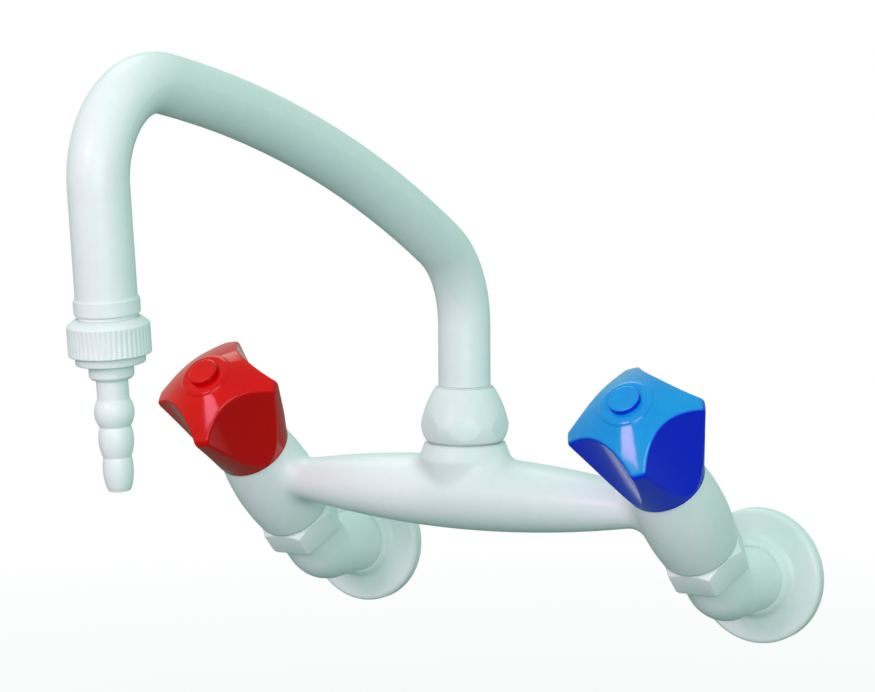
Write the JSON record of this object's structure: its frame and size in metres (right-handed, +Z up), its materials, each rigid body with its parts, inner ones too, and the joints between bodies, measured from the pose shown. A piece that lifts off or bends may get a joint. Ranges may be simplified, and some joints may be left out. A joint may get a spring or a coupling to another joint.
{
  "type": "wall-mounted bridge mixer tap",
  "caption": "Wall-mounted bridge mixer tap with two slanted valves, four-lobed knobs, a swivelling swan-neck spout and a hose nozzle under a knurled collar.",
  "frame": {"origin": "on the finished wall surface, midway between the axes of the two inlets", "axes": "+X along the bridge from the hot side to the cold side, +Y into the wall, +Z up"},
  "size_m": [0.2586, 0.3494, 0.2565],
  "materials": {
    "white_coating": "gloss",
    "red_plastic": "gloss",
    "blue_plastic": "gloss",
    "brass": "satin",
    "steel": "satin",
    "rubber": "matte",
    "fibre": "matte",
    "slip_plastic": "matte"
  },
  "bodies": {
    "bridge": {"mixer_body": "white_coating", "spout_nut": "white_coating", "spout_lower_slip_ring": "slip_plastic", "spout_upper_slip_ring": "slip_plastic", "hot_inlet_elbow": "white_coating", "hot_wall_flange": "white_coating", "hot_union_nut": "white_coating", "hot_union_ring": "steel", "hot_union_gasket": "fibre", "hot_bonnet": "brass", "hot_bonnet_gasket": "fibre", "cold_inlet_elbow": "white_coating", "cold_wall_flange": "white_coating", "cold_union_nut": "white_coating", "cold_union_ring": "steel", "cold_union_gasket": "fibre", "cold_bonnet": "brass", "cold_bonnet_gasket": "fibre"},
    "spout": {"spout_tube": "white_coating", "spout_sleeve": "brass", "spout_seals": "rubber", "outlet_ferrule": "white_coating"},
    "nozzle": {"hose_nozzle": "white_coating", "nozzle_gasket": "rubber"},
    "collar": {"nozzle_collar": "white_coating"},
    "hot_handle": {"hot_knob": "red_plastic", "hot_knob_cap": "red_plastic", "hot_knob_screw": "steel", "hot_spindle": "brass", "hot_spindle_seals": "rubber", "hot_spindle_clip": "steel"},
    "hot_plunger": {"hot_valve_plunger": "brass", "hot_seat_washer": "rubber"},
    "cold_handle": {"cold_knob": "blue_plastic", "cold_knob_cap": "blue_plastic", "cold_knob_screw": "steel", "cold_spindle": "brass", "cold_spindle_seals": "rubber", "cold_spindle_clip": "steel"},
    "cold_plunger": {"cold_valve_plunger": "brass", "cold_seat_washer": "rubber"}
  },
  "joints": [
    {"name": "spout_swivel", "type": "hinge", "parent": "bridge", "child": "spout", "pos_m": [0, -0.081, 0.1], "axis": [0, 0, 1], "range_deg": [-100, 100]},
    {"name": "hot_knob_turn", "type": "hinge", "parent": "bridge", "child": "hot_handle", "pos_m": [-0.1, -0.081, 0.042], "axis": [0, -0.7071, 0.7071], "range_deg": [0, 900]},
    {"name": "hot_plunger_lift", "type": "slide", "parent": "bridge", "child": "hot_plunger", "axis": [0, -0.7071, 0.7071], "range_m": [0, 0.00438]},
    {"name": "cold_knob_turn", "type": "hinge", "parent": "bridge", "child": "cold_handle", "pos_m": [0.1, -0.081, 0.042], "axis": [0, -0.7071, 0.7071], "range_deg": [0, 900]},
    {"name": "cold_plunger_lift", "type": "slide", "parent": "bridge", "child": "cold_plunger", "axis": [0, -0.7071, 0.7071], "range_m": [0, 0.00438]},
    {"name": "nozzle_draw", "type": "slide", "parent": "spout", "child": "nozzle", "axis": [0.0015, 0.0802, -0.9968], "range_m": [0, 0.002]},
    {"name": "collar_turn", "type": "hinge", "parent": "nozzle", "child": "collar", "pos_m": [-0.00461, -0.3212, 0.14208], "axis": [0.0015, 0.0802, -0.9968], "range_deg": [0, 540]}
  ],
  "couplings": [
    {"joint": "hot_plunger_lift", "follows": "hot_knob_turn", "m_per_rad": 0.00027852},
    {"joint": "cold_plunger_lift", "follows": "cold_knob_turn", "m_per_rad": 0.00027852},
    {"joint": "collar_turn", "follows": "nozzle_draw", "rad_per_m": 4699.5}
  ]
}
